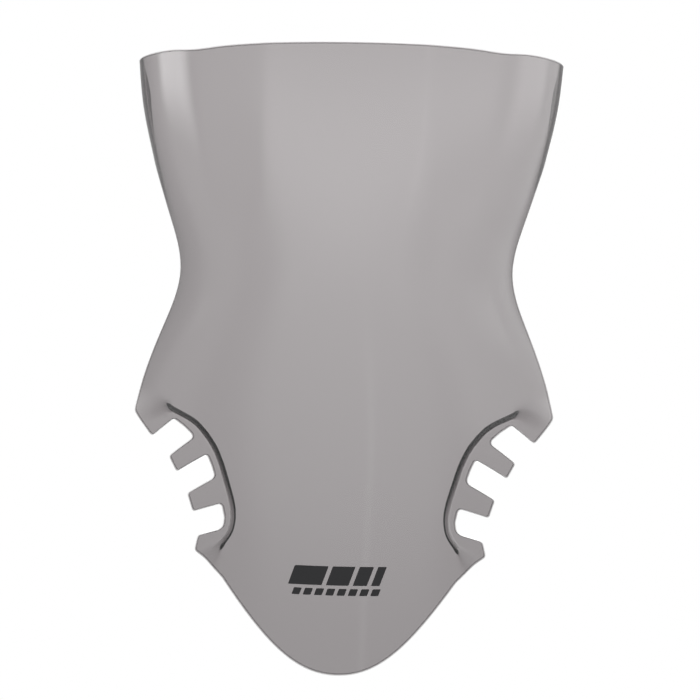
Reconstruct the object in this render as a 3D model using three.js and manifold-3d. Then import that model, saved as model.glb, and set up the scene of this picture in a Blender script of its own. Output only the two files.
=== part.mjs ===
// Windshield screen for a sports motorcycle: one thermoformed sheet of tinted clear plastic,
// with a comb of fixing tabs on each lower side, and a die-cut black decal near its nose.
//
// Millimetres. +X is across the screen, +Y runs back through it from the wind side to the
// rider's side, and +Z is up, from the nose tip to the top edge.

import * as THREE from 'three';
import { mergeVertices } from 'three/addons/utils/BufferGeometryUtils.js';
import Module from 'manifold-3d';

const wasm = await Module();
wasm.setup();

// ---------------------------------------------------------------- driving dimensions

const SHEET_THICKNESS = 3;
const TOP_HEIGHT = 453; // nose tip to top edge
const TOP_CORNER_RADIUS = 8;
const TOP_CORNER_FROM = 0.95; // share of the half section where the top corner starts
// The top edge dips a little on each side, where the scallops run out through it.
const TOP_DIP = { depth: 1.7, share: 0.49, spread: 0.085 };
const BOW_RADIUS = 1000; // lengthwise curve of the centre line
const BOW_HEIGHT = 270; // where the centre line is furthest forward

// Every level of the screen is an arc of an ellipse. The lists give its half axes and the angle
// it turns through from the centre line to the edge: beyond 90 degrees the edge curls inwards.
// Each list is [height, value], and a smooth curve runs through the values.
const SECTION_HALF_WIDTH = [
  [-10, 184], [95, 185], [187, 190], [240, 162], [293, 135],
  [340, 140.5], [380, 149.5], [420, 158], [TOP_HEIGHT, 161.8],
];
const SECTION_DEPTH = [
  [-10, 150], [95, 150], [187, 148], [240, 131], [293, 112], [380, 83], [TOP_HEIGHT, 73],
];
const EDGE_TURN = [
  [-10, 58.5], [187, 55.4], [226, 58.8], [256, 62.8], [293, 67.5], [330, 73.5],
  [365, 80], [395, 90.5], [420, 96.5], [440, 95.5], [TOP_HEIGHT, 88],
];

// A flat scallop on each side of the upper half leaves a raised bubble between them. It cuts
// straight across the section between its inner and outer line, which meet at its foot. The
// lists are [height, across].
const SCALLOP_FOOT = 305;
const SCALLOP_INNER = [[SCALLOP_FOOT, 79], [320, 66], [345, 59], [TOP_HEIGHT, 58]];
const SCALLOP_OUTER = [[SCALLOP_FOOT, 79], [330, 96], [380, 103], [TOP_HEIGHT, 112]];
const SCALLOP_SOFTNESS = 0.25;
const SCALLOP_FADE = 20; // height over which it begins

// The comb flange is a flat plate behind the main sheet, joined to it by a steep joggle.
const FLANGE_PLANE = { across: 92, height: 149, depth: 31.5, slopeAcross: 0.6, slopeUp: -0.14 };
const JOGGLE_WALL = 2.4;
const JOGGLE_LINE = [
  [165, 190], [146, 191], [129, 189.5], [118, 186], [105.5, 179.5], [94.5, 167.5], [88, 155],
  [83, 140], [79, 126], [77.8, 117], [78.6, 109], [81, 102.5], [87, 94], [100, 78],
];

// Right half of the trimmed outline from just above the shoulder: [across, height, corner radius].
const COMB_OUTLINE = [
  [150, 215, 0],
  [154, 200, 0],
  [157, 187, 3], // shoulder
  [142, 168.5, 3], // shoulder tab
  [123.5, 183, 2],
  [115.5, 178, 0],
  [107, 171, 4], // upper finger
  [128, 155, 2.5],
  [121.5, 143.5, 2.5],
  [97, 158.5, 2],
  [93.5, 151, 0],
  [90.5, 142.5, 4], // lower finger
  [113, 128.5, 2.5],
  [108.5, 115, 2.5],
  [85.5, 123.5, 3],
  [83.5, 114, 0],
  [84.5, 105.5, 5], // lower tab
  [104.5, 98, 2.5],
  [107.5, 86, 3],
  [97.5, 81, 5],
  [85, 69, 8],
];
// The nose below the comb is one Bezier curve that ends level at the tip.
const NOSE_CURVE = { leave: [52, 23], arrive: [31, 0] };

const DECAL_THICKNESS = 0.3;
const DECAL_GAP = 0.3;
const DECAL_SLANT = 0.35; // sideways lean per unit of height
const MARK = { bottom: 69, height: 14, bars: [[-33, -9], [-6, 10], [13, 23], [26, 32]] };
const DASH_ROW = { bottom: 61.5, height: 5, first: -32, pitch: 8, width: 5.6, count: 8 };

const HALF_COLUMNS = 22;
const ROWS = 34;
const CORNER_STEPS = 4;
const NOSE_STEPS = 16;
const OUTSIDE = 240; // well past the sheet on every side

// ---------------------------------------------------------------- the formed surface

// Natural cubic spline through [position, value] pairs.
function smoothThrough(pairs) {
  const n = pairs.length;
  const gap = pairs.slice(1).map((p, i) => p[0] - pairs[i][0]);
  const rise = pairs.slice(1).map((p, i) => (p[1] - pairs[i][1]) / gap[i]);
  const share = new Array(n).fill(0);
  const load = new Array(n).fill(0);
  for (let i = 1; i < n - 1; i += 1) {
    const pivot = 2 * (gap[i - 1] + gap[i]) - gap[i - 1] * share[i - 1];
    share[i] = gap[i] / pivot;
    load[i] = (6 * (rise[i] - rise[i - 1]) - gap[i - 1] * load[i - 1]) / pivot;
  }
  const bend = new Array(n).fill(0);
  for (let i = n - 2; i > 0; i -= 1) {
    bend[i] = load[i] - share[i] * bend[i + 1];
  }
  return (position) => {
    let i = 0;
    while (i < n - 2 && position > pairs[i + 1][0]) i += 1;
    const ahead = (position - pairs[i][0]) / gap[i];
    const behind = 1 - ahead;
    const straight = behind * pairs[i][1] + ahead * pairs[i + 1][1];
    const curved = (behind ** 3 - behind) * bend[i] + (ahead ** 3 - ahead) * bend[i + 1];
    return straight + (curved * gap[i] ** 2) / 6;
  };
}

const sectionHalfWidth = smoothThrough(SECTION_HALF_WIDTH);
const sectionDepth = smoothThrough(SECTION_DEPTH);
const edgeTurn = smoothThrough(EDGE_TURN);

// Straight lines through [position, value] pairs, held level past both ends.
function linesThrough(pairs, position) {
  const next = pairs.findIndex(([at]) => at > position);
  if (next <= 0) return next === 0 ? pairs[0][1] : pairs.at(-1)[1];
  const [[from, start], [to, end]] = pairs.slice(next - 1, next + 1);
  return THREE.MathUtils.mapLinear(position, from, to, start, end);
}

// How far the flat scallop lies behind the section, at an angle round it.
function scallop(turn, z) {
  const level = Math.max(z, SCALLOP_FOOT);
  const inner = linesThrough(SCALLOP_INNER, level);
  const outer = linesThrough(SCALLOP_OUTER, level);
  const halfWidth = sectionHalfWidth(level);
  const depth = sectionDepth(level);
  const arcAt = (across) => depth * (1 - Math.sqrt(1 - (across / halfWidth) ** 2));
  const width = Math.max(outer - inner, 0.01);
  const share = (halfWidth * Math.abs(Math.sin(turn)) - inner) / width;
  const chord = THREE.MathUtils.lerp(arcAt(inner), arcAt(outer), share);
  const lead = (chord - depth * (1 - Math.cos(turn))) / 2;
  const softened = lead + Math.hypot(lead, SCALLOP_SOFTNESS);
  return softened * THREE.MathUtils.smoothstep(z, SCALLOP_FOOT, SCALLOP_FOOT + SCALLOP_FADE);
}

// Wind side of the main sheet, at an angle round its section from the centre line.
function mainByTurn(turn, z) {
  const x = sectionHalfWidth(z) * Math.sin(turn);
  const bow = (z - BOW_HEIGHT) ** 2 / (2 * BOW_RADIUS);
  const depth = bow + sectionDepth(z) * (1 - Math.cos(turn)) + scallop(turn, z);
  return new THREE.Vector3(x, depth, z);
}

// Wind side of the main sheet where it hasn't turned past square.
function mainAt(x, z) {
  return mainByTurn(Math.asin(x / sectionHalfWidth(z)), z);
}

// Wind side of the comb flange.
function flangeAt(x, z) {
  const { across, height, depth, slopeAcross, slopeUp } = FLANGE_PLANE;
  const back = depth + slopeAcross * (Math.abs(x) - across) + slopeUp * (z - height);
  return new THREE.Vector3(x, back, z);
}

// The point at a distance behind a surface, square to it. The first of the surface's two
// arguments takes it to the right and the second one up.
function pointBehind(surface, right, up, distance) {
  const step = 0.001;
  const across = surface(right + step, up).sub(surface(right - step, up));
  const rise = surface(right, up + step).sub(surface(right, up - step));
  const back = rise.cross(across).normalize();
  return surface(right, up).addScaledVector(back, distance);
}

// ---------------------------------------------------------------- solids

// Closed slab between two grids of points of the same size, the first one in front.
function slab(frontRows, backRows) {
  const rows = frontRows.length;
  const columns = frontRows[0].length;
  const positions = [...frontRows.flat(), ...backRows.flat()].flatMap((p) => [p.x, p.y, p.z]);
  const front = (r, c) => r * columns + c;
  const back = (r, c) => rows * columns + front(r, c);
  const faces = [];
  const quad = (a, b, c, d) => faces.push(a, b, c, a, c, d);
  for (let r = 0; r < rows - 1; r += 1) {
    for (let c = 0; c < columns - 1; c += 1) {
      quad(front(r, c), front(r, c + 1), front(r + 1, c + 1), front(r + 1, c));
      quad(back(r, c), back(r + 1, c), back(r + 1, c + 1), back(r, c + 1));
    }
    const last = columns - 1;
    quad(front(r, 0), front(r + 1, 0), back(r + 1, 0), back(r, 0));
    quad(front(r, last), back(r, last), back(r + 1, last), front(r + 1, last));
  }
  for (let c = 0; c < columns - 1; c += 1) {
    const top = rows - 1;
    quad(front(0, c), back(0, c), back(0, c + 1), front(0, c + 1));
    quad(front(top, c), front(top, c + 1), back(top, c + 1), back(top, c));
  }
  const geometry = new THREE.BufferGeometry();
  geometry.setAttribute('position', new THREE.Float32BufferAttribute(positions, 3));
  geometry.setIndex(faces);
  return geometry;
}

function toSolid(geometry) {
  const bare = geometry.clone();
  bare.deleteAttribute('normal');
  bare.deleteAttribute('uv');
  const merged = mergeVertices(bare, 1e-4);
  return new wasm.Manifold(new wasm.Mesh({
    numProp: 3,
    vertProperties: new Float32Array(merged.attributes.position.array),
    triVerts: new Uint32Array(merged.index.array),
  }));
}

function toGeometry(solid) {
  const mesh = solid.getMesh();
  const geometry = new THREE.BufferGeometry();
  geometry.setAttribute('position', new THREE.Float32BufferAttribute(mesh.vertProperties, 3));
  geometry.setIndex(Array.from(mesh.triVerts));
  geometry.computeVertexNormals();
  return geometry;
}

// Straight cutter through the whole depth, from a front-view outline of Vector2 points.
function frontCutter(points) {
  const geometry = new THREE.ExtrudeGeometry(new THREE.Shape(points), {
    depth: 2 * OUTSIDE,
    bevelEnabled: false,
  });
  geometry.rotateX(Math.PI / 2).translate(0, OUTSIDE, 0);
  return toSolid(geometry);
}

// ---------------------------------------------------------------- outlines

// Adds a polyline to a path, turning each corner of [x, z, radius] with a short curve.
function addRoundedCorners(path, corners) {
  corners.forEach(([x, z, radius], i) => {
    const corner = new THREE.Vector2(x, z);
    if (radius === 0 || i === 0 || i === corners.length - 1) {
      path.lineTo(x, z);
      return;
    }
    const towards = ([nextX, nextZ]) => {
      const reach = new THREE.Vector2(nextX, nextZ).sub(corner);
      return reach.setLength(Math.min(radius, reach.length() / 2)).add(corner);
    };
    const start = towards(corners[i - 1]);
    const end = towards(corners[i + 1]);
    path.lineTo(start.x, start.y);
    path.quadraticCurveTo(x, z, end.x, end.y);
  });
}

// Front-view outline that trims the sheet. Above the shoulders the formed edge is the edge.
function trimOutline() {
  const half = new THREE.Path();
  half.moveTo(0, 2 * TOP_HEIGHT);
  half.lineTo(OUTSIDE, 2 * TOP_HEIGHT);
  half.lineTo(OUTSIDE, COMB_OUTLINE[0][1]);
  addRoundedCorners(half, COMB_OUTLINE);
  const nose = new THREE.CubicBezierCurve(
    half.currentPoint.clone(),
    new THREE.Vector2(...NOSE_CURVE.leave),
    new THREE.Vector2(...NOSE_CURVE.arrive),
    new THREE.Vector2(0, 0),
  );
  const right = [...half.getPoints(CORNER_STEPS), ...nose.getPoints(NOSE_STEPS).slice(1)];
  const left = right.slice(1, -1).reverse().map((p) => new THREE.Vector2(-p.x, p.y));
  return [...right, ...left];
}

// The joggle line in the front view, moved towards the centre of the screen by a distance.
function joggleLine(side, inward) {
  const curve = new THREE.SplineCurve(JOGGLE_LINE.map(([x, z]) => new THREE.Vector2(x, z)));
  const samples = 3 * (JOGGLE_LINE.length - 1);
  return Array.from({ length: samples + 1 }, (_, i) => {
    const point = curve.getPoint(i / samples);
    const along = curve.getTangent(i / samples);
    point.add(new THREE.Vector2(along.y, -along.x).multiplyScalar(inward));
    return new THREE.Vector2(side * point.x, point.y);
  });
}

// Front-view area on the comb's side of the joggle line.
function combArea(side, inward) {
  const line = joggleLine(side, inward);
  const end = line.at(-1);
  return [...line, new THREE.Vector2(side * OUTSIDE, end.y), new THREE.Vector2(side * OUTSIDE, line[0].y)];
}

// ---------------------------------------------------------------- the screen

function formedSheet() {
  const columns = [];
  for (let i = -HALF_COLUMNS; i <= HALF_COLUMNS; i += 1) {
    const even = i / HALF_COLUMNS;
    columns.push((even + Math.sin((Math.PI / 2) * even)) / 2); // closer together at the edges
  }
  const topAt = (share) => {
    const into = Math.max(0, (Math.abs(share) - TOP_CORNER_FROM) / (1 - TOP_CORNER_FROM));
    const beside = (Math.abs(share) - TOP_DIP.share) / TOP_DIP.spread;
    const dip = TOP_DIP.depth * Math.exp(-(beside ** 2));
    return TOP_HEIGHT - dip - TOP_CORNER_RADIUS * (1 - Math.sqrt(1 - into ** 2));
  };
  const foot = -8; // the untrimmed sheet runs on below the nose
  const layer = (distance) => Array.from({ length: ROWS + 1 }, (_, r) => columns.map((share) => {
    const z = THREE.MathUtils.lerp(foot, topAt(share), r / ROWS);
    const turn = THREE.MathUtils.degToRad(edgeTurn(z)) * share;
    return pointBehind(mainByTurn, turn, z, distance);
  }));
  return toSolid(slab(layer(0), layer(SHEET_THICKNESS)));
}

// Flat plate that covers one comb, before it is trimmed to the outline.
function combPlate(side) {
  const low = 60;
  const high = 200;
  const inner = 60;
  const outer = 175;
  const across = side > 0 ? [inner, outer] : [-outer, -inner];
  const layer = (distance) => [low, high].map((z) => across.map(
    (x) => pointBehind(flangeAt, x, z, distance),
  ));
  return toSolid(slab(layer(0), layer(SHEET_THICKNESS)));
}

// Steep wall that joins the main sheet to the flange along the joggle line.
function joggleWall(side) {
  const ledge = 0.05; // keeps the wall's sides clear of the edges of both sheets
  const bite = 0.6; // how far the wall reaches past the middle of each sheet
  const edges = [joggleLine(side, JOGGLE_WALL - ledge), joggleLine(side, -ledge)];
  if (side < 0) edges.reverse();
  const middle = SHEET_THICKNESS / 2;
  const layer = (pick, reach) => edges[0].map((_, i) => edges.map((edge) => {
    const { x, y: z } = edge[i];
    const depth = pick(mainAt(x, z).y, flangeAt(x, z).y) + middle + reach;
    return new THREE.Vector3(x, depth, z);
  })).reverse();
  return toSolid(slab(layer(Math.min, -bite), layer(Math.max, bite)));
}

function screenGeometry() {
  const outline = frontCutter(trimOutline());
  let screen = formedSheet().intersect(outline);
  for (const side of [1, -1]) {
    const flange = combPlate(side).intersect(frontCutter(combArea(side, JOGGLE_WALL)));
    screen = screen.subtract(frontCutter(combArea(side, 0)));
    screen = screen.add(flange.add(joggleWall(side)).intersect(outline));
  }
  return toGeometry(screen);
}

// ---------------------------------------------------------------- the decal

// Slanted bar of film that follows the sheet's wind side, a small gap in front of it.
function filmBar(left, right, bottom, height) {
  const columns = Math.max(1, Math.round((right - left) / 5));
  const rows = Math.max(1, Math.round(height / 7));
  const layer = (distance) => Array.from({ length: rows + 1 }, (_, r) => {
    const rise = (height * r) / rows;
    return Array.from({ length: columns + 1 }, (__, c) => {
      const x = THREE.MathUtils.lerp(left, right, c / columns) + DECAL_SLANT * (rise - height / 2);
      return pointBehind(mainAt, x, bottom + rise, -distance);
    });
  });
  return slab(layer(DECAL_GAP + DECAL_THICKNESS), layer(DECAL_GAP));
}

function decalPieces() {
  const film = new THREE.MeshStandardMaterial({ color: 0x141414, roughness: 0.45, metalness: 0 });
  const bars = MARK.bars.map(([left, right], i) => {
    const bar = new THREE.Mesh(filmBar(left, right, MARK.bottom, MARK.height), film.clone());
    bar.name = `decal_bar_${i + 1}`;
    return bar;
  });
  const dashes = Array.from({ length: DASH_ROW.count }, (_, i) => {
    const left = DASH_ROW.first + DASH_ROW.pitch * i;
    const shape = filmBar(left, left + DASH_ROW.width, DASH_ROW.bottom, DASH_ROW.height);
    const dash = new THREE.Mesh(shape, film.clone());
    dash.name = `decal_dash_${i + 1}`;
    return dash;
  });
  return [...bars, ...dashes];
}

// ---------------------------------------------------------------- assembly

const tintedClear = new THREE.MeshStandardMaterial({
  color: 0x8f8b8c,
  roughness: 0.05,
  metalness: 0,
  transparent: true,
  opacity: 0.6,
});
const screen = new THREE.Mesh(screenGeometry(), tintedClear);
screen.name = 'screen';

// The origin is under the middle of the screen's depth, level with the nose tip.
screen.geometry.computeBoundingBox();
const { min, max } = screen.geometry.boundingBox;
const windshield = new THREE.Group();
windshield.add(screen, ...decalPieces());
windshield.position.y = -(min.y + max.y) / 2;

export default windshield;
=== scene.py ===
"""Windshield screen: the fine surfaces, materials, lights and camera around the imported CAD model.

Lengths in this file are millimetres, turned into metres where a mesh or an object is made.
The frame is the CAD model's: +X across, +Y from the wind side to the rider's side, +Z up.
"""

from math import cos, pi, radians, sin

import bpy
import numpy as np
from mathutils import Matrix, Vector
from mathutils.geometry import delaunay_2d_cdt


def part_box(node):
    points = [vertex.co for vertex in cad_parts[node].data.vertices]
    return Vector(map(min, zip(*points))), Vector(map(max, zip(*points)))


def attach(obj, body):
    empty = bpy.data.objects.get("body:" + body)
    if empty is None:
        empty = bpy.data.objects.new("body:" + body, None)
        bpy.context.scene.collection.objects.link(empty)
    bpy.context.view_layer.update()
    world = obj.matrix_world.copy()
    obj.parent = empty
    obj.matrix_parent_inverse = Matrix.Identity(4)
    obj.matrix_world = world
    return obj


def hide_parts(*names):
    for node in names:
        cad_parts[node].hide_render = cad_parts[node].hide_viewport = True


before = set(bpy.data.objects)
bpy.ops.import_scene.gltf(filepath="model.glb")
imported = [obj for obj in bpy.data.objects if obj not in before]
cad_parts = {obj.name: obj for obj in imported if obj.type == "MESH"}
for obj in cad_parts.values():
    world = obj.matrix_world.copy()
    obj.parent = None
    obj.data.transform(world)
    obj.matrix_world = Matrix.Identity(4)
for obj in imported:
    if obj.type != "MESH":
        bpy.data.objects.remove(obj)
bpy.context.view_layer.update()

MM = 0.001

# ---------------------------------------------------------------- driving dimensions

SHEET_THICKNESS = 3
EDGE_ROUNDING = 0.3  # radius of the polished rim
TOP_HEIGHT = 453
TOP_CORNER_RADIUS = 8
TOP_CORNER_FROM = 0.95  # share of the half section where the top corner starts
# The top edge dips a little on each side, where the scallops run out through it.
TOP_DIP = dict(depth=1.7, share=0.49, spread=0.085)
BOW_RADIUS = 1000
BOW_HEIGHT = 270

# Every level of the screen is an arc of an ellipse. The lists give its half axes and the angle
# it turns through from the centre line to the edge: beyond 90 degrees the edge curls inwards.
# Each list is (height, value), and a smooth curve runs through the values.
SECTION_HALF_WIDTH = [
    (-10, 184), (95, 185), (187, 190), (240, 162), (293, 135),
    (340, 140.5), (380, 149.5), (420, 158), (TOP_HEIGHT, 161.8),
]
SECTION_DEPTH = [
    (-10, 150), (95, 150), (187, 148), (240, 131), (293, 112), (380, 83), (TOP_HEIGHT, 73),
]
EDGE_TURN = [
    (-10, 58.5), (187, 55.4), (226, 58.8), (256, 62.8), (293, 67.5), (330, 73.5),
    (365, 80), (395, 90.5), (420, 96.5), (440, 95.5), (TOP_HEIGHT, 88),
]

# A flat scallop on each side of the upper half leaves a raised bubble between them. It cuts
# straight across the section between its inner and outer line, which meet at its foot.
SCALLOP_FOOT = 305
SCALLOP_INNER = [(SCALLOP_FOOT, 79), (320, 66), (345, 59), (TOP_HEIGHT, 58)]
SCALLOP_OUTER = [(SCALLOP_FOOT, 79), (330, 96), (380, 103), (TOP_HEIGHT, 112)]
SCALLOP_SOFTNESS = 0.25
SCALLOP_FADE = 20  # height over which it begins
SCALLOP_NARROWEST = 0.01  # stands in for its width at the foot, where that is nothing

# The comb flange is a flat plate behind the main sheet, joined to it by a steep joggle.
FLANGE_PLANE = dict(across=92, height=149, depth=31.5, slope_across=0.6, slope_up=-0.14)
JOGGLE_WALL = 2.4
JOGGLE_RUN = 2.0  # how far the wind side takes to step back, where the joggle is sharp
JOGGLE_FADE = 26  # and at its two ends, where the flange melts into the main sheet
JOGGLE_LINE = [
    (165, 190), (146, 191), (129, 189.5), (118, 186), (105.5, 179.5), (94.5, 167.5), (88, 155),
    (83, 140), (79, 126), (77.8, 117), (78.6, 109), (81, 102.5), (87, 94), (100, 78),
]
JOGGLE_SHARP = (0.2, 0.9)  # shares of the line between which it is sharp
JOGGLE_SOFTENS = 0.13  # share of the line over which it fades
JOGGLE_TOP = 240  # well above the whole flange

# Right half of the outline from just above the shoulder: (across, height, corner radius).
COMB_OUTLINE = [
    (157, 187, 3),  # shoulder
    (142, 168.5, 3),  # shoulder tab
    (123.5, 183, 2),
    (115.5, 178, 0),
    (107, 171, 4),  # upper finger
    (128, 155, 2.5),
    (121.5, 143.5, 2.5),
    (97, 158.5, 2),
    (93.5, 151, 0),
    (90.5, 142.5, 4),  # lower finger
    (113, 128.5, 2.5),
    (108.5, 115, 2.5),
    (85.5, 123.5, 3),
    (83.5, 114, 0),
    (84.5, 105.5, 5),  # lower tab
    (104.5, 98, 2.5),
    (107.5, 86, 3),
    (97.5, 81, 5),
    (85, 69, 8),
]
SHOULDER_FROM = 205  # height where the formed edge hands over to the list above
NOSE_CURVE = dict(leave=(52, 23), arrive=(31, 0))

GRID = 2.6  # spacing of the surface's points
RIM_STEP = 0.8  # spacing along the rim
RIM_INSET = 1.2  # how far inside the rim the next row of points runs
ROUNDING_ANGLES = (pi / 6, pi / 3, pi / 2)  # where the rim's rounding has its rows
TOP_SAMPLES = 400
SIDE_SAMPLES = 500
NOSE_SAMPLES = 60

# Rows of points along the joggle: how far from its line the first one runs and where they stop,
# how far apart they are, and the spacing of the points in a row.
JOGGLE_ROWS = dict(first=-5.2, stop=3.3, apart=0.4, spacing=1.2)

# How much room the points of one kind leave to those of another.
JOGGLE_FROM_RIM = 1.6 * RIM_INSET
GRID_FROM_JOGGLE = 0.75 * GRID
GRID_FROM_RIM = RIM_INSET + 0.5 * GRID
FILL_FROM_RIM = 0.9 * RIM_INSET
INSET_SLACK = 0.97  # an inset point may come this much nearer to another stretch of the outline

# How many points are compared at once, which only limits the memory that it takes.
JOGGLE_CHUNK = 4000
CLEARANCE_CHUNK = 40


# ---------------------------------------------------------------- the formed surface

def smooth_through(pairs):
    """Natural cubic spline through (position, value) pairs, as a function of arrays."""
    at, value = np.array(pairs, float).T
    gap = np.diff(at)
    rise = np.diff(value) / gap
    count = len(at)
    system = np.eye(count)
    load = np.zeros(count)
    for i in range(1, count - 1):
        system[i, i - 1:i + 2] = gap[i - 1], 2 * (gap[i - 1] + gap[i]), gap[i]
        load[i] = 6 * (rise[i] - rise[i - 1])
    bend = np.linalg.solve(system, load)

    def curve(position):
        i = np.clip(np.searchsorted(at, position) - 1, 0, count - 2)
        ahead = (position - at[i]) / gap[i]
        behind = 1 - ahead
        curved = (behind**3 - behind) * bend[i] + (ahead**3 - ahead) * bend[i + 1]
        return behind * value[i] + ahead * value[i + 1] + curved * gap[i] ** 2 / 6

    return curve


section_half_width = smooth_through(SECTION_HALF_WIDTH)
section_depth = smooth_through(SECTION_DEPTH)
edge_turn = smooth_through(EDGE_TURN)


def smoothstep(t):
    """Goes smoothly from 0 at 0 to 1 at 1, and stays there outside."""
    t = np.clip(t, 0, 1)
    return t * t * (3 - 2 * t)


def scallop(turn, z):
    """How far the flat scallop lies behind the section, at an angle round it."""
    level = np.maximum(z, SCALLOP_FOOT)
    lines = (SCALLOP_INNER, SCALLOP_OUTER)
    inner, outer = (np.interp(level, *np.array(line, float).T) for line in lines)
    half_width, depth = section_half_width(level), section_depth(level)
    start, end = (depth * (1 - np.sqrt(1 - (across / half_width) ** 2)) for across in (inner, outer))
    width = np.maximum(outer - inner, SCALLOP_NARROWEST)
    x = half_width * np.abs(np.sin(turn))
    chord = start + (end - start) * (x - inner) / width
    arc = depth * (1 - np.cos(turn))
    lead = (chord - arc) / 2
    softened = lead + np.sqrt(lead**2 + SCALLOP_SOFTNESS**2)
    return softened * smoothstep((z - SCALLOP_FOOT) / SCALLOP_FADE)


def main_surface(turn, z):
    """Wind side of the main sheet, at an angle round its section from the centre line."""
    x = section_half_width(z) * np.sin(turn)
    bow = (z - BOW_HEIGHT) ** 2 / (2 * BOW_RADIUS)
    return np.stack([x, bow + section_depth(z) * (1 - np.cos(turn)) + scallop(turn, z), z], -1)


def flange_surface(turn, z):
    """Wind side of the comb flange, in front of or behind the same place on the main sheet."""
    plane = FLANGE_PLANE
    x = section_half_width(z) * np.sin(turn)
    sideways = plane["slope_across"] * (np.abs(x) - plane["across"])
    return np.stack([x, plane["depth"] + sideways + plane["slope_up"] * (z - plane["height"]), z], -1)


def unit(vectors):
    return vectors / np.linalg.norm(vectors, axis=-1, keepdims=True)


SLOPE_STEP = 0.001  # step in angle and in height that a surface's slope is taken over


def behind(surface, turn, z, distance):
    """Points at a distance behind a surface, square to it."""
    across = surface(turn + SLOPE_STEP, z) - surface(turn - SLOPE_STEP, z)
    rise = surface(turn, z + SLOPE_STEP) - surface(turn, z - SLOPE_STEP)
    return surface(turn, z) + unit(np.cross(rise, across)) * distance


def turn_at(x, z):
    """The angle round the section at a place across it."""
    return np.arcsin(np.clip(x / section_half_width(z), -1, 1))


def catmull_rom(points, samples):
    """A smooth curve through all the points, sampled evenly from point to point."""
    points = np.array(points, float)
    ends = np.vstack([points[:1], points, points[-1:]])
    out = []
    for t in np.linspace(0, len(points) - 1, samples):
        i = min(int(t), len(points) - 2)
        u = t - i
        a, b, c, d = ends[i:i + 4]
        out.append(((-a + 3 * b - 3 * c + d) * u**3 + (2 * a - 5 * b + 4 * c - d) * u**2
                    + (c - a) * u + 2 * b) / 2)
    return np.array(out)


JOGGLE_SAMPLES = 260
joggle_path = catmull_rom(JOGGLE_LINE, JOGGLE_SAMPLES)


def from_joggle(x, z):
    """Distance past the joggle line, towards the comb, and the share of the line it is at."""
    points = np.stack([np.abs(x), z], -1).reshape(-1, 2)
    start, end = joggle_path[:-1], joggle_path[1:]
    along = end - start
    length = np.linalg.norm(along, axis=1)
    distance = np.empty(len(points))
    share = np.empty(len(points))
    for chunk in np.array_split(np.arange(len(points)), max(1, len(points) // JOGGLE_CHUNK)):
        offset = points[chunk, None] - start
        t = np.clip((offset * along).sum(-1) / length**2, 0, 1)
        gap = np.linalg.norm(offset - t[..., None] * along, axis=-1)
        nearest = gap.argmin(1)
        rows = np.arange(len(chunk))
        ahead, aside = along[nearest].T, offset[rows, nearest].T
        side = ahead[0] * aside[1] - ahead[1] * aside[0]
        distance[chunk] = gap[rows, nearest] * np.sign(side)
        share[chunk] = (nearest + t[rows, nearest]) / (JOGGLE_SAMPLES - 1)
    return distance.reshape(np.shape(x)), share.reshape(np.shape(x))


def sheet_point(turn, z, depth):
    """A point of the sheet at a depth into it, from 0 on the wind side."""
    distance, share = from_joggle(section_half_width(z) * np.sin(turn), z)
    start, stop = JOGGLE_SHARP
    before = smoothstep((start - share) / JOGGLE_SOFTENS)
    after = smoothstep((share - stop) / JOGGLE_SOFTENS)
    fade = np.maximum(before, after)
    run = JOGGLE_RUN + (JOGGLE_FADE - JOGGLE_RUN) * fade
    wall = JOGGLE_WALL * depth / SHEET_THICKNESS
    step = smoothstep((distance + wall) / run + 0.5)
    step = np.where(z > JOGGLE_TOP, 0, step)[..., None]
    main = behind(main_surface, turn, z, depth)
    return (1 - step) * main + step * behind(flange_surface, turn, z, depth)


# ---------------------------------------------------------------- laying the sheet out flat

def unroll(turn, z):
    """Across and up on the sheet laid out flat, where the rolled flanks aren't foreshortened."""
    return np.stack([section_half_width(z) * turn, z], -1)


def roll_up(flat):
    """The angle round the section and the height of a point on the flat layout."""
    return flat[..., 0] / section_half_width(flat[..., 1]), flat[..., 1]


def edge_across(z):
    """Where the formed edge lies on the flat layout."""
    return section_half_width(z) * np.radians(edge_turn(z))


def bezier(points, steps):
    """A Bezier curve with any number of control points."""
    t = np.linspace(0, 1, steps + 1)[:, None]
    points = [np.array(p, float) for p in points]
    while len(points) > 1:
        points = [(1 - t) * a + t * b for a, b in zip(points, points[1:])]
    return points[0]


def rounded(corners, steps=5):
    """Polyline through (across, height, radius) corners, each turned with a short curve."""
    out = []
    for i, (x, z, radius) in enumerate(corners):
        corner = np.array([x, z], float)
        if radius == 0 or i in (0, len(corners) - 1):
            out.append(corner[None])
            continue
        ends = []
        for other in (corners[i - 1], corners[i + 1]):
            reach = np.array(other[:2], float) - corner
            size = np.linalg.norm(reach)
            ends.append(corner + reach / size * min(radius, size / 2))
        out.append(bezier([ends[0], corner, ends[1]], steps))
    return np.vstack(out)


def resample(line, step):
    """The same line with its points spaced evenly, about a step apart."""
    length = np.concatenate([[0], np.cumsum(np.linalg.norm(np.diff(line, axis=0), axis=1))])
    count = max(2, round(length[-1] / step) + 1)
    at = np.linspace(0, length[-1], count)
    return np.stack([np.interp(at, length, line[:, k]) for k in (0, 1)], -1)


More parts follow.
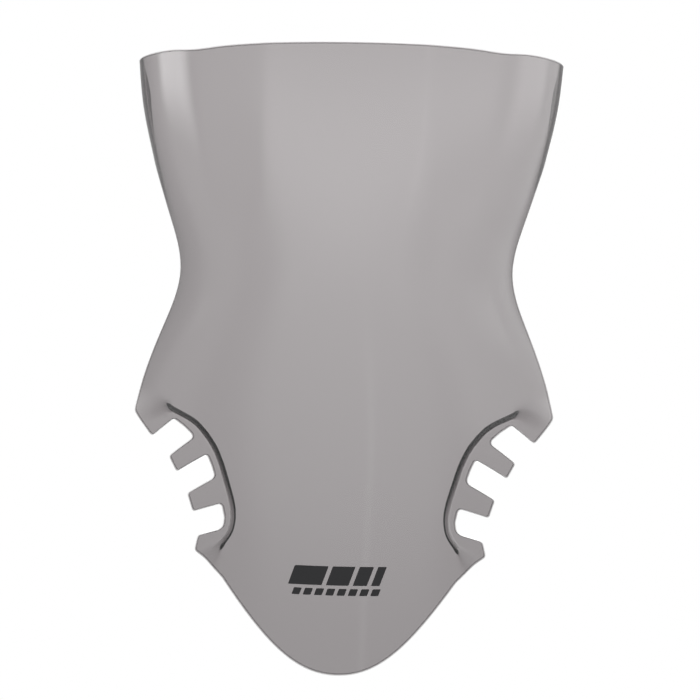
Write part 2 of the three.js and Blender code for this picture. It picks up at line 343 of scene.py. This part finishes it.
def rim_outline():
    """The whole outline on the flat layout, from the top centre round by the right side."""
    even = np.linspace(0, 1, TOP_SAMPLES)
    corner = 1 - (1 - TOP_CORNER_FROM) * (1 - even[1:]) ** 2
    share = np.concatenate([even * TOP_CORNER_FROM, corner])
    into = np.clip((share - TOP_CORNER_FROM) / (1 - TOP_CORNER_FROM), 0, 1)
    dip = TOP_DIP["depth"] * np.exp(-(((share - TOP_DIP["share"]) / TOP_DIP["spread"]) ** 2))
    z = TOP_HEIGHT - dip - TOP_CORNER_RADIUS * (1 - np.sqrt(1 - into**2))
    top = np.stack([share * edge_across(z), z], -1)
    z = np.linspace(TOP_HEIGHT - TOP_CORNER_RADIUS, SHOULDER_FROM, SIDE_SAMPLES)
    side = np.stack([edge_across(z), z], -1)
    shoulder = section_half_width(SHOULDER_FROM) * sin(radians(edge_turn(SHOULDER_FROM)))
    comb = rounded([(shoulder, SHOULDER_FROM, 0), *COMB_OUTLINE])
    nose_controls = [COMB_OUTLINE[-1][:2], NOSE_CURVE["leave"], NOSE_CURVE["arrive"], (0, 0)]
    nose = bezier(nose_controls, NOSE_SAMPLES)
    lower = np.vstack([comb[1:], nose[1:]])
    lower = unroll(turn_at(*lower.T), lower[:, 1])
    right = resample(np.vstack([top, side[1:], lower]), RIM_STEP)
    left = right[1:-1][::-1] * (-1, 1)
    return np.vstack([right, left])


# ---------------------------------------------------------------- meshes

def make_mesh(name, points, faces):
    """A smooth-shaded piece in the scene."""
    mesh = bpy.data.meshes.new(name)
    mesh.from_pydata([tuple(p) for p in points * MM], [], faces)
    mesh.validate()
    mesh.shade_smooth()
    piece = bpy.data.objects.new(name, mesh)
    bpy.context.scene.collection.objects.link(piece)
    return piece


def inside(points, outline):
    """Which points lie inside a closed outline."""
    a, b = outline, np.roll(outline, -1, axis=0)
    hits = np.zeros(len(points), bool)
    for (ax, ay), (bx, by) in zip(a, b):
        if ay == by:
            continue
        spans = (points[:, 1] < ay) != (points[:, 1] < by)
        hits ^= spans & (points[:, 0] < ax + (points[:, 1] - ay) * (bx - ax) / (by - ay))
    return hits


def clear_of(points, others, distance):
    """Which points are further than a distance from all the others."""
    keep = np.ones(len(points), bool)
    for chunk in np.array_split(others, max(1, len(others) // CLEARANCE_CHUNK)):
        gap = np.linalg.norm(points[:, None] - chunk, axis=-1).min(1)
        keep &= gap > distance
    return keep


def lattice(low, high, spacing):
    """Points of a regular triangular grid over a rectangle."""
    rows = np.arange(low[1], high[1], spacing * sin(pi / 3))
    points = []
    for i, z in enumerate(rows):
        start = low[0] + (i % 2) * spacing / 2
        points += [(x, z) for x in np.arange(start, high[0], spacing)]
    return np.array(points)


def inset_row(outline, distance):
    """Points at a distance inside an outline, which runs clockwise."""
    along = unit(np.roll(outline, -1, axis=0) - np.roll(outline, 1, axis=0))
    row = outline + distance * np.stack([along[:, 1], -along[:, 0]], -1)
    return resample(row[clear_of(row, outline, distance * INSET_SLACK)], distance)


TRIANGLES_INSIDE = 1  # what the triangulation gives back
SAME_POINT = 1e-6  # how close two points are when it takes them as one


def fill(outline, extra, clearance):
    """Triangles that fill a flat outline, through the extra points well inside it."""
    extra = extra[inside(extra, outline)]
    extra = extra[clear_of(extra, outline, clearance)]
    points = np.vstack([outline, extra])
    ring = [(i, (i + 1) % len(outline)) for i in range(len(outline))]
    corners = [Vector(p) for p in points]
    found, _, faces, *_ = delaunay_2d_cdt(corners, ring, [], TRIANGLES_INSIDE, SAME_POINT)
    assert len(found) == len(points), "the outline crosses itself"
    return np.array([v[:] for v in found]), [tuple(f) for f in faces]


def joggle_points():
    """Rows of points along the joggle, close together where the sheet steps back."""
    rows = []
    tangent = unit(np.gradient(joggle_path, axis=0))
    across = np.stack([-tangent[:, 1], tangent[:, 0]], -1)
    for distance in np.arange(JOGGLE_ROWS["first"], JOGGLE_ROWS["stop"], JOGGLE_ROWS["apart"]):
        line = resample(joggle_path + across * distance, JOGGLE_ROWS["spacing"])
        flat = unroll(turn_at(*line.T), line[:, 1])
        rows += [flat, flat * (-1, 1)]
    return np.vstack(rows)


def sheet_layout():
    """The sheet's points and triangles on the flat layout, rim first, and the rim's length."""
    outline = rim_outline()
    near_rim = inset_row(outline, RIM_INSET)
    joggle = joggle_points()
    joggle = joggle[clear_of(joggle, outline, JOGGLE_FROM_RIM)]
    grid = lattice(outline.min(0), outline.max(0), GRID)
    grid = grid[clear_of(grid, joggle, GRID_FROM_JOGGLE) & clear_of(grid, outline, GRID_FROM_RIM)]
    flat, faces = fill(outline, np.vstack([near_rim, joggle, grid]), FILL_FROM_RIM)
    return flat, faces, len(outline)


def rounded_rim(front, back):
    """Rows of points round the rim from front to back, and the way in from it."""
    through = unit(back - front)
    along = unit(np.roll(front, -1, axis=0) - np.roll(front, 1, axis=0))
    inward = unit(np.cross(through, along))
    bands = []
    for start, way in ((front, through), (back, -through)):
        bands.append([start + EDGE_ROUNDING * ((1 - sin(a)) * inward + (1 - cos(a)) * way)
                      for a in ROUNDING_ANGLES])
    return [*bands[0], *bands[1][::-1]], inward


def screen_piece():
    """The sheet: a face on each side and a rounded rim between them, in one closed mesh."""
    flat, faces, rim = sheet_layout()
    count = len(flat)
    turn, z = roll_up(flat)
    layers = [sheet_point(turn, z, 0), sheet_point(turn, z, SHEET_THICKNESS)]
    rings, inward = rounded_rim(layers[0][:rim], layers[1][:rim])
    for layer in layers:
        layer[:rim] += inward * EDGE_ROUNDING
    points = np.vstack([*layers, *rings])
    all_faces = faces + [tuple(count + i for i in reversed(f)) for f in faces]
    starts = [0] + [2 * count + rim * k for k in range(len(rings))] + [count]
    for first, second in zip(starts, starts[1:]):
        for i in range(rim):
            j = (i + 1) % rim
            all_faces.append((first + j, first + i, second + i, second + j))
    points[:, 1] += depth_shift
    return make_mesh("clear_sheet", points, all_faces)


# The CAD screen starts where the main sheet's centre line is furthest forward.
depth_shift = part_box("screen")[0][1] / MM

screen = screen_piece()
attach(screen, "root")
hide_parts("screen")


# ---------------------------------------------------------------- the decal

DECAL_SLANT = 0.35
FILM_THICKNESS = 0.15
FILM_CORNER = 0.7
FILM_LIFT = 0.02  # keeps the film's inner face just off the sheet
FILM_GRID = 1.4
CAD_PREFIX = "decal_"


def film_piece(name, node):
    """Cut film that lies on the wind side, over the place of its CAD solid."""
    (left, _, bottom), (right, _, top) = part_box(node)
    left, right, bottom, top = (v / MM for v in (left, right, bottom, top))
    lean = DECAL_SLANT * (top - bottom) / 2
    corners = [(left + 2 * lean, top), (right, top), (right - 2 * lean, bottom), (left, bottom)]
    middle = ((left + right) / 2, top)
    round_corners = [(*corner, FILM_CORNER) for corner in corners[1:] + corners[:1]]
    loop = rounded([(*middle, 0), *round_corners, (*middle, 0)])[:-1]
    flat, faces = fill(loop, lattice(loop.min(0), loop.max(0), FILM_GRID), FILM_GRID / 2)
    turn = turn_at(*flat.T)
    outer = behind(main_surface, turn, flat[:, 1], -FILM_THICKNESS)
    inner = behind(main_surface, turn, flat[:, 1], -FILM_LIFT)
    count, rim = len(flat), len(loop)
    sides = [(i, (i + 1) % rim, count + (i + 1) % rim, count + i) for i in range(rim)]
    outer_faces = [tuple(reversed(f)) for f in faces]
    inner_faces = [tuple(count + i for i in f) for f in faces]
    points = np.vstack([outer, inner])
    points[:, 1] += depth_shift
    piece = make_mesh(name, points, outer_faces + inner_faces + sides)
    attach(piece, "root")
    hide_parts(node)
    return piece


decal_nodes = [node for node in sorted(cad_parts) if node.startswith(CAD_PREFIX)]
films = [film_piece(node.replace(CAD_PREFIX, "film_"), node) for node in decal_nodes]


# ---------------------------------------------------------------- materials

ACRYLIC_IOR = 1.49
TINT = dict(color=(0.0705, 0.022, 0.033, 1), density=420)
POLISH = dict(scale=60, stretch=(1, 1, 3), low=0.015, high=0.03)
RIPPLE = dict(scale=22, stretch=(1, 1, 9), depth=0.0004, strength=0.5)
GRAIN = dict(scale=900, low=0.38, high=0.5, depth=0.00003, strength=0.3)
FILM_TONES = [(0.010, 0.010, 0.011, 1), (0.015, 0.015, 0.016, 1)]
NOISE_MIDDLE = (0.3, 0.7)  # the part of a noise texture's range that most of it lies in


def new_material(name):
    material = bpy.data.materials.new(name)
    material.use_nodes = True
    nodes, links = material.node_tree.nodes, material.node_tree.links
    return material, nodes, links, nodes["Principled BSDF"]


def noise(nodes, links, scale, stretch=(1, 1, 1), detail=2):
    """Noise over the object, in cells of 1 / scale metres, stretched along its axes."""
    place = nodes.new("ShaderNodeTexCoord").outputs["Object"]
    mapping = nodes.new("ShaderNodeMapping")
    mapping.inputs["Scale"].default_value = [scale / s for s in stretch]
    links.new(place, mapping.inputs["Vector"])
    texture = nodes.new("ShaderNodeTexNoise")
    texture.inputs["Scale"].default_value = 1
    texture.inputs["Detail"].default_value = detail
    links.new(mapping.outputs[0], texture.inputs["Vector"])
    return texture.outputs["Fac"]


def spread(nodes, links, value, low, high):
    """The middle of a noise value's range, taken to a range of its own."""
    node = nodes.new("ShaderNodeMapRange")
    links.new(value, node.inputs["Value"])
    node.inputs["From Min"].default_value = NOISE_MIDDLE[0]
    node.inputs["From Max"].default_value = NOISE_MIDDLE[1]
    node.inputs["To Min"].default_value = low
    node.inputs["To Max"].default_value = high
    return node.outputs["Result"]


def bump(nodes, links, height, depth, strength):
    """Bump normal for a height value, over a depth in metres."""
    node = nodes.new("ShaderNodeBump")
    node.inputs["Strength"].default_value = strength
    node.inputs["Distance"].default_value = depth
    links.new(height, node.inputs["Height"])
    return node.outputs["Normal"]


def tinted_acrylic():
    """Smoke-tinted clear sheet, with the faint upright ripple that forming leaves."""
    material, nodes, links, shader = new_material("tinted_acrylic")
    shader.inputs["Base Color"].default_value = (1, 1, 1, 1)
    shader.inputs["IOR"].default_value = ACRYLIC_IOR
    shader.inputs["Transmission Weight"].default_value = 1
    polish = noise(nodes, links, POLISH["scale"], POLISH["stretch"])
    polish = spread(nodes, links, polish, POLISH["low"], POLISH["high"])
    links.new(polish, shader.inputs["Roughness"])
    ripple = noise(nodes, links, RIPPLE["scale"], RIPPLE["stretch"], detail=1)
    ripple = bump(nodes, links, ripple, RIPPLE["depth"], RIPPLE["strength"])
    links.new(ripple, shader.inputs["Normal"])
    tint = nodes.new("ShaderNodeVolumeAbsorption")
    tint.inputs["Color"].default_value = TINT["color"]
    tint.inputs["Density"].default_value = TINT["density"]
    links.new(tint.outputs["Volume"], nodes["Material Output"].inputs["Volume"])
    return material


def black_film():
    """Satin vinyl with a fine grain."""
    material, nodes, links, shader = new_material("black_film")
    grain = noise(nodes, links, GRAIN["scale"], detail=3)
    tone = nodes.new("ShaderNodeMix")
    tone.data_type = "RGBA"
    links.new(grain, tone.inputs["Factor"])
    for end, color in zip(("A", "B"), FILM_TONES):
        tone.inputs[end].default_value = color
    links.new(tone.outputs["Result"], shader.inputs["Base Color"])
    links.new(spread(nodes, links, grain, GRAIN["low"], GRAIN["high"]), shader.inputs["Roughness"])
    shader.inputs["Specular IOR Level"].default_value = 0.2
    grain_bump = bump(nodes, links, grain, GRAIN["depth"], GRAIN["strength"])
    links.new(grain_bump, shader.inputs["Normal"])
    return material


screen.data.materials.append(tinted_acrylic())
film_material = black_film()
for film in films:
    film.data.materials.append(film_material)


# ---------------------------------------------------------------- stage, lights, camera

AIM = Vector((5.1, 35 + depth_shift, 235.9)) * MM  # where the camera looks, in metres
CAMERA_DISTANCE = 0.85  # metres
CAMERA_YAW = radians(1.51)
CAMERA_HEIGHT_ANGLE = radians(0.56)
CAMERA_ROLL = radians(1.11)
MM_PER_PIXEL = 0.72
FRAME_PIXELS = 700
SENSOR = 36
WHITE = (1, 1, 1, 1)


def add_camera():
    """An almost level camera in front of the object, a little towards +X and slightly rolled."""
    data = bpy.data.cameras.new("camera")
    data.sensor_width = SENSOR
    data.lens = SENSOR * CAMERA_DISTANCE / (FRAME_PIXELS * MM_PER_PIXEL * MM)
    camera = bpy.data.objects.new("camera", data)
    bpy.context.scene.collection.objects.link(camera)
    level = cos(CAMERA_HEIGHT_ANGLE)
    away = Vector((sin(CAMERA_YAW) * level, -cos(CAMERA_YAW) * level, sin(CAMERA_HEIGHT_ANGLE)))
    look = (-away).to_track_quat("-Z", "Y").to_matrix().to_4x4()
    roll = Matrix.Rotation(CAMERA_ROLL, 4, "Z")
    camera.matrix_world = Matrix.Translation(AIM + away * CAMERA_DISTANCE) @ look @ roll
    bpy.context.scene.camera = camera


# The object's reflections see an ambient level and soft lights around it, which nothing else sees.
# "around" is the angle from the front towards +X, "low" and "high" are angles above the horizon,
# and a light fades out over "edge" degrees at its sides and "fade" degrees at its top and foot.
AMBIENT = 0.6
SOFT_LIGHTS = [
    dict(around=5, half_width=120, edge=44, low=-90, high=90, fade=10, strength=0.5),  # the room
    dict(around=2, half_width=40, edge=20, low=-32, high=80, fade=24, strength=0.6),  # floor in front
    dict(around=5, half_width=42, edge=18, low=9, high=31, fade=20, strength=1.0),  # over the camera
    dict(around=-80, half_width=16, edge=20, low=-20, high=70, fade=20, strength=0.5),  # left wall
    dict(around=85, half_width=39, edge=20, low=-14, high=60, fade=20, strength=1.0),  # right panel
    dict(around=10, half_width=1.5, edge=3, low=-60, high=0, fade=20, strength=0.4),  # faint tube, low
    dict(around=28, half_width=1.5, edge=3, low=8, high=50, fade=16, strength=0.5),  # faint tube, high
    dict(around=180, half_width=18, edge=24, low=-20, high=60, fade=40, strength=1.4),  # behind
]
# The backdrop, as seen through the sheet, grows brighter with height: middle and width of the
# rise in degrees above the horizon, and its strength.
BACKDROP_GLOW = (0, 28, 0.3)


def feed(links, socket, value):
    """Sets a socket to a number, or links another node's output to it."""
    if isinstance(value, (int, float)):
        socket.default_value = value
    else:
        links.new(value, socket)


def math_node(tree, operation, *values):
    node = tree.nodes.new("ShaderNodeMath")
    node.operation = operation
    for socket, value in zip(node.inputs, values):
        feed(tree.links, socket, value)
    return node.outputs[0]


def soft_step(tree, value, start, stop, strength=1):
    """Goes smoothly from 0 at start to the strength at stop, either way up or down the value."""
    node = tree.nodes.new("ShaderNodeMapRange")
    node.interpolation_type = "SMOOTHSTEP"
    feed(tree.links, node.inputs["Value"], value)
    node.inputs["From Min"].default_value = start
    node.inputs["From Max"].default_value = stop
    node.inputs["To Max"].default_value = strength
    return node.outputs["Result"]


def coordinates(tree, kind):
    """The three parts of a texture coordinate."""
    parts = tree.nodes.new("ShaderNodeSeparateXYZ")
    tree.links.new(tree.nodes.new("ShaderNodeTexCoord").outputs[kind], parts.inputs[0])
    return parts.outputs


def angle_step(tree, angle, middle, width, strength=1):
    """A soft step round a middle angle, in degrees. It falls where the width is negative."""
    return soft_step(tree, angle, radians(middle - width / 2), radians(middle + width / 2), strength)


def add_world():
    """Surroundings that are white to the camera and light the object evenly.

    Its reflections see the soft lights instead, and what shows through it grows brighter with height.
    """
    world = bpy.data.worlds.new("studio")
    bpy.context.scene.world = world
    world.use_nodes = True
    tree = world.node_tree
    x, y, z = coordinates(tree, "Generated")
    height = math_node(tree, "ARCSINE", z)
    around = math_node(tree, "ARCTAN2", x, math_node(tree, "MULTIPLY", y, -1))

    reflected = AMBIENT
    for light in SOFT_LIGHTS:
        turn = math_node(tree, "SUBTRACT", around, radians(light["around"]))
        aside = math_node(tree, "ABSOLUTE", math_node(tree, "WRAP", turn, pi, -pi))
        lit = angle_step(tree, aside, light["half_width"], -light["edge"], light["strength"])
        lit = math_node(tree, "MULTIPLY", lit, angle_step(tree, height, light["low"], light["fade"]))
        lit = math_node(tree, "MULTIPLY", lit, angle_step(tree, height, light["high"], -light["fade"]))
        reflected = math_node(tree, "ADD", reflected, lit)
    glow = angle_step(tree, height, *BACKDROP_GLOW)

    ray = tree.nodes.new("ShaderNodeLightPath").outputs
    transmitted = ray["Is Transmission Ray"]
    mirrored = math_node(tree, "MULTIPLY", ray["Is Glossy Ray"], math_node(tree, "SUBTRACT", 1, transmitted))
    extra = math_node(tree, "MULTIPLY", mirrored, math_node(tree, "SUBTRACT", reflected, 1))
    extra = math_node(tree, "ADD", extra, math_node(tree, "MULTIPLY", transmitted, glow))
    background = tree.nodes["Background"]
    background.inputs["Color"].default_value = WHITE
    tree.links.new(math_node(tree, "ADD", extra, 1), background.inputs["Strength"])


def stage_plane(name, corners):
    """A flat four-sided piece of the stage, and the empty node tree of its material.

    It doesn't show through the object.
    """
    mesh = bpy.data.meshes.new(name)
    mesh.from_pydata([Vector(corner) * MM for corner in corners], [], [(0, 1, 2, 3)])
    plane = bpy.data.objects.new(name, mesh)
    bpy.context.scene.collection.objects.link(plane)
    material = bpy.data.materials.new(name)
    material.use_nodes = True
    material.node_tree.nodes.clear()
    mesh.materials.append(material)
    plane.visible_transmission = False
    return plane, material.node_tree


# Upright soft lights close to the object, which only its reflections see. They stand "away" from a
# point "beside" its middle, "around" the front, from a foot height to a top height, and fade out
# over a length at the foot and over a share of their width at the sides.
LIGHT_CARDS = [
    dict(around=-74, beside=-125, away=600, width=400, foot=385, top=1100, foot_fade=250, strength=3.8),
    dict(around=78, beside=125, away=600, width=480, foot=330, top=900, foot_fade=260, strength=1.5),
]
CARD_SIDE_FADE = 0.3
CARD_BACK = 20  # how far behind the CAD frame's middle the beside point lies


def show(tree, shader):
    """Makes a shader the surface of the material."""
    output = tree.nodes.new("ShaderNodeOutputMaterial")
    tree.links.new(shader.outputs[0], output.inputs["Surface"])


def add_light_card(name, card):
    """A card that adds its light to whatever lies behind it, so that its edges don't show."""
    half = card["width"] / 2
    low, high = card["foot"], card["top"]
    corners = [(-half, 0, low), (half, 0, low), (half, 0, high), (-half, 0, high)]
    plane, tree = stage_plane(name, corners)
    turn = radians(card["around"])
    across = card["beside"] + card["away"] * sin(turn)
    plane.location = Vector((across, CARD_BACK - card["away"] * cos(turn), 0)) * MM
    plane.rotation_euler.z = turn
    plane.visible_camera = False
    plane.visible_diffuse = False
    plane.visible_shadow = False
    x, _, z = coordinates(tree, "Generated")
    aside = math_node(tree, "ABSOLUTE", math_node(tree, "SUBTRACT", x, 0.5))
    lit = soft_step(tree, aside, 0.5, 0.5 - CARD_SIDE_FADE, card["strength"])
    lit = math_node(tree, "MULTIPLY", lit, soft_step(tree, z, 0, card["foot_fade"] / (high - low)))
    glow = tree.nodes.new("ShaderNodeEmission")
    tree.links.new(lit, glow.inputs["Strength"])
    both = tree.nodes.new("ShaderNodeAddShader")
    tree.links.new(glow.outputs[0], both.inputs[0])
    tree.links.new(tree.nodes.new("ShaderNodeBsdfTransparent").outputs[0], both.inputs[1])
    show(tree, both)


FLOOR_HEIGHT = -1  # just under the nose tip
FLOOR_REACH = 6000


def add_floor():
    """White floor that joins the backdrop without a visible edge, and isn't reflected."""
    signs = [(-1, -1), (1, -1), (1, 1), (-1, 1)]
    corners = [(x * FLOOR_REACH, y * FLOOR_REACH, FLOOR_HEIGHT) for x, y in signs]
    floor, tree = stage_plane("floor", corners)
    floor.visible_glossy = False
    glow = tree.nodes.new("ShaderNodeEmission")
    glow.inputs["Color"].default_value = WHITE
    show(tree, glow)


add_camera()
add_world()
add_light_card("left_card", LIGHT_CARDS[0])
add_light_card("right_card", LIGHT_CARDS[1])
add_floor()

bpy.context.scene.view_settings.view_transform = "Standard"
